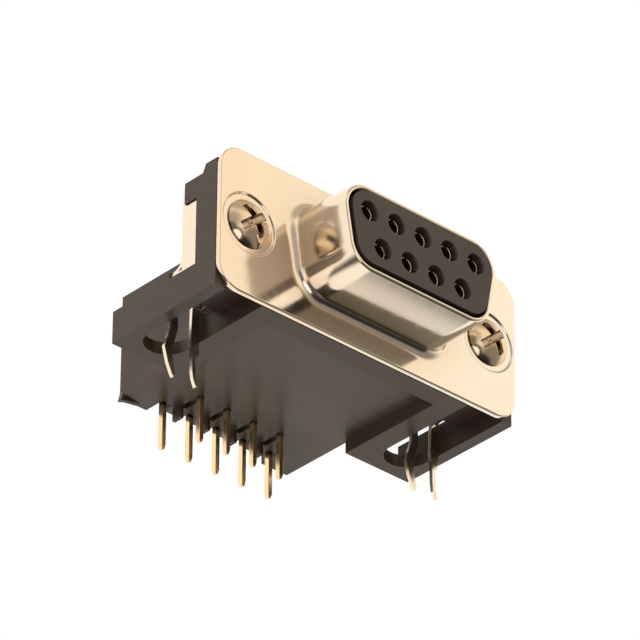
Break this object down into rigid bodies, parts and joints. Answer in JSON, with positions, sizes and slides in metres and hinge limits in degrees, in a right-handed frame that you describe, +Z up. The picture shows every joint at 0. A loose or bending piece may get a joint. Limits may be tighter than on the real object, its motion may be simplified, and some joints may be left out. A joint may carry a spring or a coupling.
{
  "type": "d-sub connector",
  "caption": "Right-angle D-sub socket for a circuit board, with a D-shaped metal shroud, screws, plastic hood, sprung boardlocks and rows of bent board pins.",
  "frame": {"origin": "on the board's upper face, under the middle of the flange's front", "axes": "+X along the flange, +Y towards the rear of the body, +Z up from the board; the shroud faces -Y"},
  "size_m": [0.0308, 0.0251, 0.0168],
  "materials": {
    "shell": "warm bright nickel plate",
    "insulator": "semi-gloss moulded",
    "housing": "semi-gloss moulded",
    "contact": "gold flash",
    "boardlock": "bright tin plate",
    "nut": "nickel plate",
    "screw": "nickel plate"
  },
  "bodies": {
    "root": {"front_shell": "shell", "front_insulator": "insulator", "rear_insulator": "insulator", "housing": "housing", "contact_1": "contact", "contact_2": "contact", "contact_3": "contact", "contact_4": "contact", "contact_5": "contact", "contact_6": "contact", "contact_7": "contact", "contact_8": "contact", "contact_9": "contact", "left_boardlock": "boardlock", "right_boardlock": "boardlock", "left_nut": "nut", "right_nut": "nut", "left_screw": "screw", "right_screw": "screw"}
  },
  "joints": []
}
